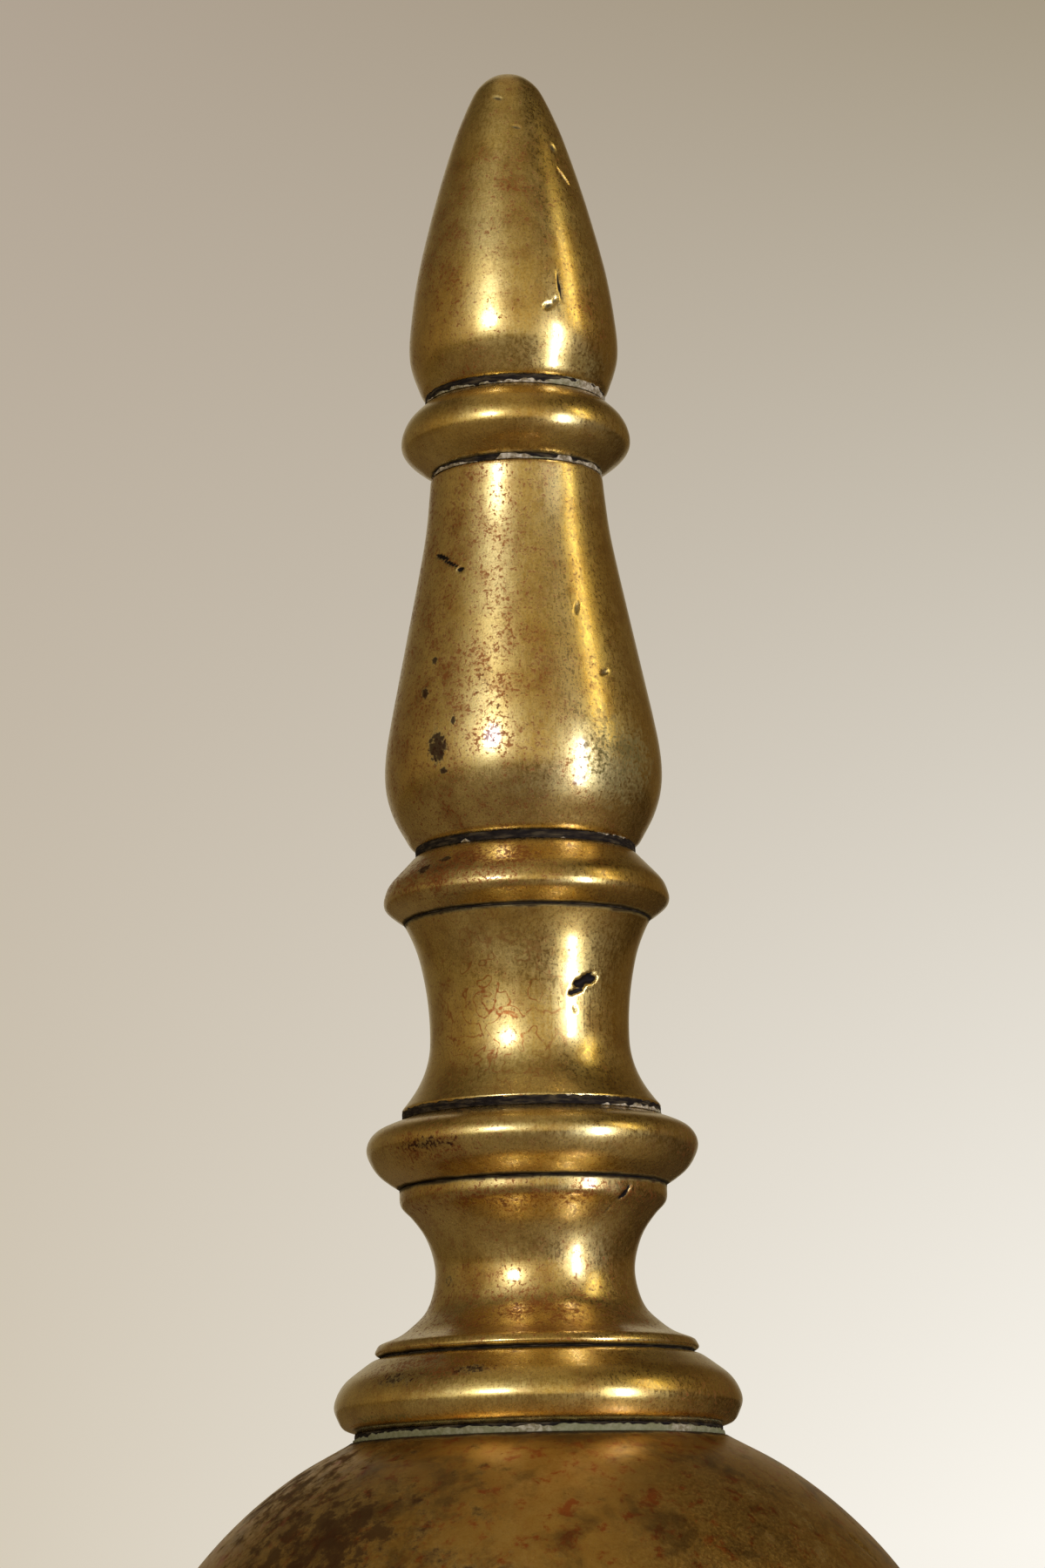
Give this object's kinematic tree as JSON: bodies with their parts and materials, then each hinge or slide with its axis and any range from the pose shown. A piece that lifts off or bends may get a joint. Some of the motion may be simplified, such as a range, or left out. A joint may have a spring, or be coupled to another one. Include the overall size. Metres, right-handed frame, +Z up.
{
  "type": "andiron",
  "caption": "Brass andiron with a steeple finial on a ball, a turned column, arched legs on ball feet, and an iron bar with a rear leg and a log stop that carries burning logs.",
  "frame": {"origin": "on the floor, under the centre of the whole andiron's outline", "axes": "+Z up; the brass front faces -Y and the billet bar runs back towards +Y, so +Y is front to back; X is the width across the front feet"},
  "size_m": [0.28, 0.6234, 0.7],
  "materials": {
    "patinated_brass": "old satin-polished turned brass with brown patina, red-brown specks and stains",
    "ball_brass": "duller, browner patinated brass with dark brown and orange stains",
    "wrought_iron": "forged iron, blackened by fire, with faint rust",
    "threaded_iron": "dark oiled iron, plain fastenings"
  },
  "bodies": {
    "andiron": {"finial_baluster": "patinated_brass", "baluster_collar": "patinated_brass", "upper_spool": "patinated_brass", "middle_ring": "patinated_brass", "lower_spool": "patinated_brass", "finial_base_ring": "patinated_brass", "ball_neck_ring": "patinated_brass", "neck_spool": "patinated_brass", "column_upper_ring": "patinated_brass", "column_vase": "patinated_brass", "column_lower_ring": "patinated_brass", "column_foot": "patinated_brass", "plinth": "patinated_brass", "leg_left": "patinated_brass", "leg_right": "patinated_brass", "foot_left": "patinated_brass", "foot_right": "patinated_brass", "log_stop_base": "patinated_brass", "log_stop_finial": "patinated_brass", "ball_upper_shell": "ball_brass", "ball_lower_shell": "ball_brass", "log_stop_ball": "ball_brass", "billet_bar": "wrought_iron", "rear_leg": "wrought_iron", "tie_rod": "threaded_iron", "tie_rod_washer": "threaded_iron", "tie_rod_nut": "threaded_iron", "leg_bolt_left": "threaded_iron", "leg_bolt_right": "threaded_iron", "log_stop_stud": "threaded_iron", "log_stop_washer": "threaded_iron", "log_stop_nut": "threaded_iron"},
    "tip_lifting": {"tip_bead": "patinated_brass"},
    "tip_turning": {"finial_tip": "patinated_brass"}
  },
  "joints": [
    {"name": "tip_lift", "type": "slide", "parent": "andiron", "child": "tip_lifting", "axis": [0, 0, 1], "range_m": [0, 0.01588]},
    {"name": "tip_turn", "type": "hinge", "parent": "tip_lifting", "child": "tip_turning", "pos_m": [0, -0.24825, 0.66], "axis": [0, 0, 1], "range_deg": [0, 3600]}
  ],
  "couplings": [
    {"joint": "tip_lift", "follows": "tip_turn", "m_per_rad": 0.00025266}
  ]
}
